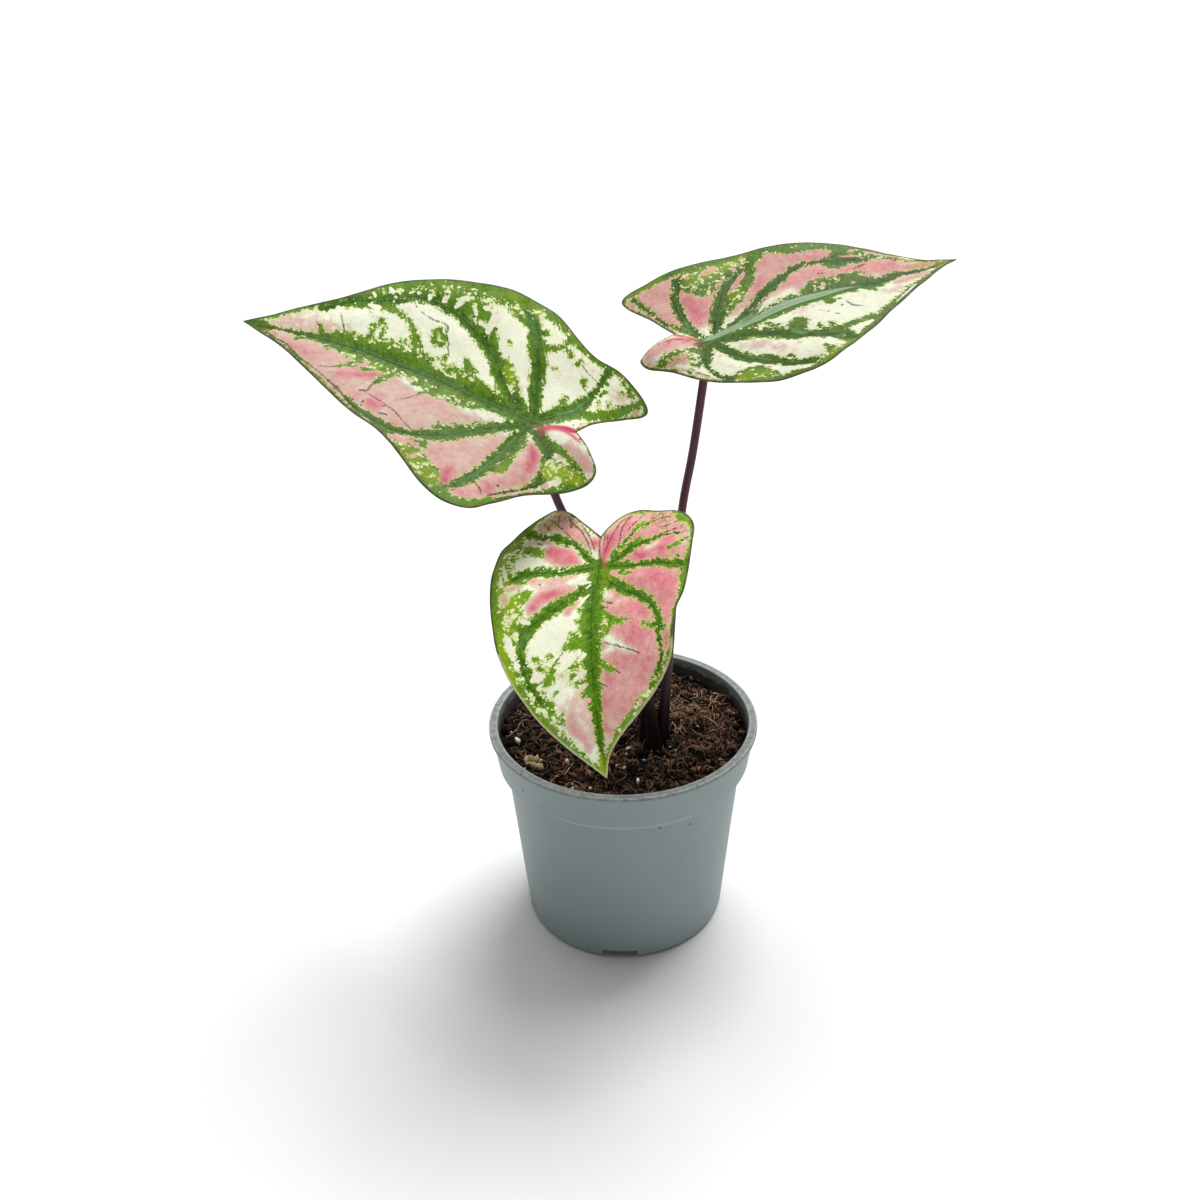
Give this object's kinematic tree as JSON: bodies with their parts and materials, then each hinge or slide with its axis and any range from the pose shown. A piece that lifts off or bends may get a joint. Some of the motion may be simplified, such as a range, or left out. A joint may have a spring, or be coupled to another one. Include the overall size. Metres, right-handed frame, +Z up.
{
  "type": "caladium",
  "caption": "Potted aroid house plant: heart-shaped variegated leaves on long dark stalks, rooted in potting soil in a small round nursery pot.",
  "frame": {"origin": "centre of the pot's underside, on the surface the pot stands on", "axes": "+Z up along the pot's axis, +X to the right and -Y towards the viewer of the picture"},
  "size_m": [0.1392, 0.0855, 0.1498],
  "materials": {
    "pot": "moulded grey-green polypropylene, fine satin grain",
    "soil": "loose dark peat and coir with perlite grains",
    "tuber": "rough brown skin with growth rings",
    "blade": "satin leaf, green with cream and pink patches",
    "stalk": "smooth, dark purple-brown, slightly glossy"
  },
  "bodies": {
    "root": {"pot": "pot", "soil": "soil", "tuber": "tuber", "blade_left": "blade", "stalk_left": "stalk", "blade_right": "blade", "stalk_right": "stalk", "blade_front": "blade", "stalk_front": "stalk"}
  },
  "joints": []
}
